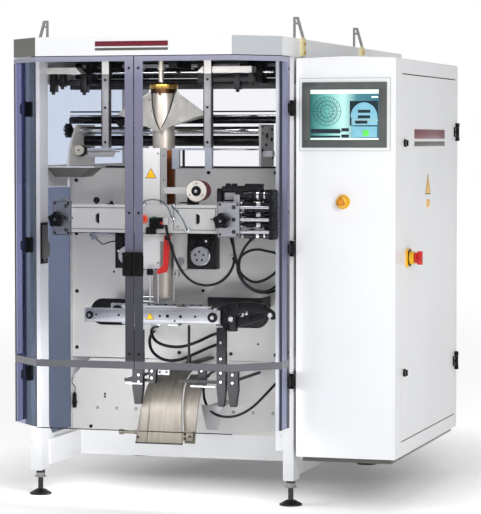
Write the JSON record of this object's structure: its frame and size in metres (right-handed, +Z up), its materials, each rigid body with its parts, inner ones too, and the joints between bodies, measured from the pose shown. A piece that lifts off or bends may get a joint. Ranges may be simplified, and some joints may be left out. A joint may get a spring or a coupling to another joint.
{
  "type": "vertical form fill sealer",
  "caption": "Floor-standing vertical bag forming, filling and sealing machine with bent clear guard doors, cross jaws, belt film pull and a side electrical cabinet.",
  "frame": {"origin": "centre of the machine's bounding box footprint, on the floor under the feet", "axes": "+Z up, the guard doors face -Y, the electrical cabinet is on the +X side"},
  "size_m": [1.497, 2.081, 1.802],
  "materials": {
    "white_paint": "satin powder coat, fine orange peel",
    "frame_paint": "satin powder coat",
    "plate_paint": "satin light grey powder coat",
    "door_profile": "satin blue violet anodised look",
    "tinted_sheet": "clear polycarbonate with a slight blue grey tint",
    "black_plastic": "fine moulded texture",
    "steel": "brushed",
    "stainless": "bright stainless sheet",
    "alloy": "bead blasted",
    "zinc": "zinc plated",
    "bezel_grey": "fine texture",
    "screen": "lit display behind gloss cover",
    "yellow": "gloss",
    "red": "gloss",
    "rubber": "matt rubber",
    "black_metal": "semi matt black",
    "cable": "satin cable sheath",
    "electric": "device housings",
    "maroon": "ribbon and reel"
  },
  "bodies": {
    "machine": {"corner_posts": "frame_paint", "frame_rails": "frame_paint", "hood": "white_paint", "lifting_lugs": "zinc", "levelling_feet": "zinc", "side_panels": "white_paint", "left_upper_window": "tinted_sheet", "left_lower_window": "tinted_sheet", "mounting_plate": "plate_paint", "lower_plate": "plate_paint", "door_hinges": "black_plastic", "cabinet_shell": "white_paint", "electrical_panel": "electric", "operator_bezel": "bezel_grey", "operator_screen": "screen", "stop_collar": "yellow", "hangers": "plate_paint", "forming_tube": "stainless", "forming_collar": "alloy", "roller_frame": "plate_paint", "pull_unit_beam": "white_paint", "beam_clamps": "alloy", "slide_rods": "steel", "belt_gearmotor": "black_metal", "vertical_seal_housing": "plate_paint", "jaw_gearmotor": "black_metal", "discharge_chute": "stainless", "chute_arms": "black_metal", "reel_arms": "frame_paint", "drive_cable": "cable", "motor_cable": "cable", "outlet_cable": "cable"},
    "left_door": {"left_door_frame": "door_profile", "left_door_glass": "tinted_sheet", "left_door_handle": "black_plastic"},
    "right_door": {"right_door_frame": "door_profile", "right_door_glass": "tinted_sheet", "right_door_handle": "black_plastic"},
    "side_door": {"cabinet_door": "white_paint", "main_switch_plate": "yellow"},
    "upper_lock": {"upper_lock": "black_plastic"},
    "lower_lock": {"lower_lock": "black_plastic"},
    "switch_handle": {"main_switch_handle": "red"},
    "stop_button": {"stop_button": "yellow"},
    "film_roller": {"film_roller": "steel"},
    "left_carriage": {"left_belt_carriage": "black_metal", "left_pull_belt": "rubber"},
    "right_carriage": {"right_belt_carriage": "black_metal", "right_pull_belt": "rubber"},
    "left_pulley": {"left_drive_pulley": "alloy"},
    "right_pulley": {"right_drive_pulley": "alloy"},
    "left_knob": {"left_clamp_knob": "black_plastic"},
    "right_knob": {"right_clamp_knob": "black_plastic"},
    "front_jaw": {"front_jaw": "alloy", "jaw_rods": "steel"},
    "rear_jaw": {"rear_jaw": "alloy"},
    "seal_bar": {"vertical_seal_bar": "alloy"},
    "lever": {"red_lever": "red"},
    "ribbon_reel": {"ribbon_reel": "maroon"},
    "reel_shaft": {"reel_shaft": "steel"}
  },
  "joints": [
    {"name": "left_door_hinge", "type": "hinge", "parent": "machine", "child": "left_door", "pos_m": [-0.7335, -0.7505, 0.953], "axis": [0, 0, -1], "range_deg": [0, 110]},
    {"name": "right_door_hinge", "type": "hinge", "parent": "machine", "child": "right_door", "pos_m": [0.3105, -0.7505, 0.953], "axis": [0, 0, 1], "range_deg": [0, 90]},
    {"name": "side_door_hinge", "type": "hinge", "parent": "machine", "child": "side_door", "pos_m": [0.6995, 0.3305, 0.92], "axis": [0, 0, 1], "range_deg": [0, 110]},
    {"name": "upper_lock_turn", "type": "hinge", "parent": "side_door", "child": "upper_lock", "pos_m": [0.6915, -0.5915, 1.337], "axis": [1, 0, 0], "range_deg": [0, 90]},
    {"name": "lower_lock_turn", "type": "hinge", "parent": "side_door", "child": "lower_lock", "pos_m": [0.6915, -0.5915, 0.495], "axis": [1, 0, 0], "range_deg": [0, 90]},
    {"name": "main_switch_turn", "type": "hinge", "parent": "side_door", "child": "switch_handle", "pos_m": [0.6915, -0.5345, 0.915], "axis": [1, 0, 0], "range_deg": [0, 90]},
    {"name": "stop_press", "type": "slide", "parent": "machine", "child": "stop_button", "axis": [0, 1, 0], "range_m": [0, 0.006], "stiffness_N_per_m": 800},
    {"name": "film_roller_spin", "type": "hinge", "parent": "machine", "child": "film_roller", "pos_m": [-0.2115, -0.3765, 1.385], "axis": [1, 0, 0], "continuous": true},
    {"name": "left_carriage_slide", "type": "slide", "parent": "machine", "child": "left_carriage", "axis": [-1, 0, 0], "range_m": [0, 0.03]},
    {"name": "right_carriage_slide", "type": "slide", "parent": "machine", "child": "right_carriage", "axis": [1, 0, 0], "range_m": [0, 0.03]},
    {"name": "left_pulley_spin", "type": "hinge", "parent": "left_carriage", "child": "left_pulley", "pos_m": [-0.3615, -0.6465, 0.915], "axis": [0, 1, 0], "continuous": true},
    {"name": "right_pulley_spin", "type": "hinge", "parent": "right_carriage", "child": "right_pulley", "pos_m": [-0.0745, -0.6465, 0.915], "axis": [0, 1, 0], "continuous": true},
    {"name": "left_knob_turn", "type": "hinge", "parent": "machine", "child": "left_knob", "pos_m": [-0.5925, -0.7865, 1.052], "axis": [0, 1, 0], "continuous": true},
    {"name": "right_knob_turn", "type": "hinge", "parent": "machine", "child": "right_knob", "pos_m": [0.0525, -0.7865, 1.052], "axis": [0, 1, 0], "continuous": true},
    {"name": "front_jaw_close", "type": "slide", "parent": "machine", "child": "front_jaw", "axis": [0, 1, 0], "range_m": [0, 0.078]},
    {"name": "rear_jaw_close", "type": "slide", "parent": "machine", "child": "rear_jaw", "axis": [0, -1, 0], "range_m": [0, 0.078]},
    {"name": "seal_bar_press", "type": "slide", "parent": "machine", "child": "seal_bar", "axis": [0, 1, 0], "range_m": [0, 0.018]},
    {"name": "lever_swing", "type": "hinge", "parent": "machine", "child": "lever", "pos_m": [-0.1755, -0.7265, 0.985], "axis": [0, 1, 0], "range_deg": [-8, 25]},
    {"name": "ribbon_reel_spin", "type": "hinge", "parent": "machine", "child": "ribbon_reel", "pos_m": [-0.0615, -0.7165, 1.16], "axis": [0, 1, 0], "continuous": true},
    {"name": "reel_shaft_spin", "type": "hinge", "parent": "machine", "child": "reel_shaft", "pos_m": [-0.2115, 0.8335, 0.48], "axis": [1, 0, 0], "continuous": true}
  ],
  "couplings": [
    {"joint": "right_carriage_slide", "follows": "left_carriage_slide", "ratio": 1},
    {"joint": "right_pulley_spin", "follows": "left_pulley_spin", "ratio": -1},
    {"joint": "rear_jaw_close", "follows": "front_jaw_close", "ratio": 1}
  ]
}
